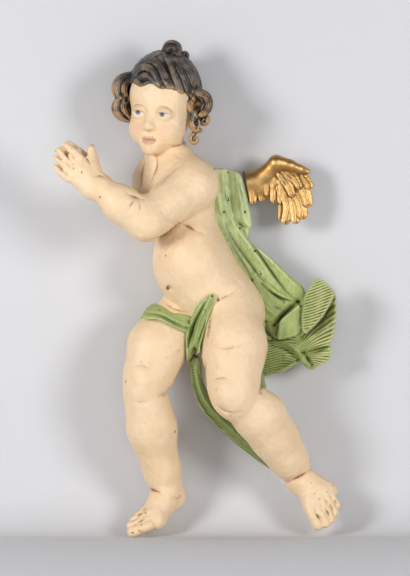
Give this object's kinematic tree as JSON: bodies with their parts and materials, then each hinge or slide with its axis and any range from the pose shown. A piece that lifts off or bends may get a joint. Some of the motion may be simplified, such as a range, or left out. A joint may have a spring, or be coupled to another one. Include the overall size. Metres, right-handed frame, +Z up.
{
  "type": "carved wooden angel",
  "caption": "Wall-hung carved wooden putto in flight, hands raised, with a swirl of carved drapery and a separate gilded wing butted on behind the shoulder",
  "frame": {"origin": "middle of the sawn flat between the shoulder blades, where the carving is fastened to the wall", "axes": "+Z up, +X to the viewer's right when looking at the front, +Y into the wall"},
  "size_m": [0.4362, 0.1727, 0.7604],
  "materials": {
    "painted_wood": "old satin paint over wood: cream flesh, green cloth and dark brown hair, worn, with small wormholes",
    "gilding": "worn gold leaf over wood, burnished on the feathers' ridges and darker in their grooves"
  },
  "bodies": {
    "root": {"figure": "painted_wood", "wing": "gilding"}
  },
  "joints": []
}
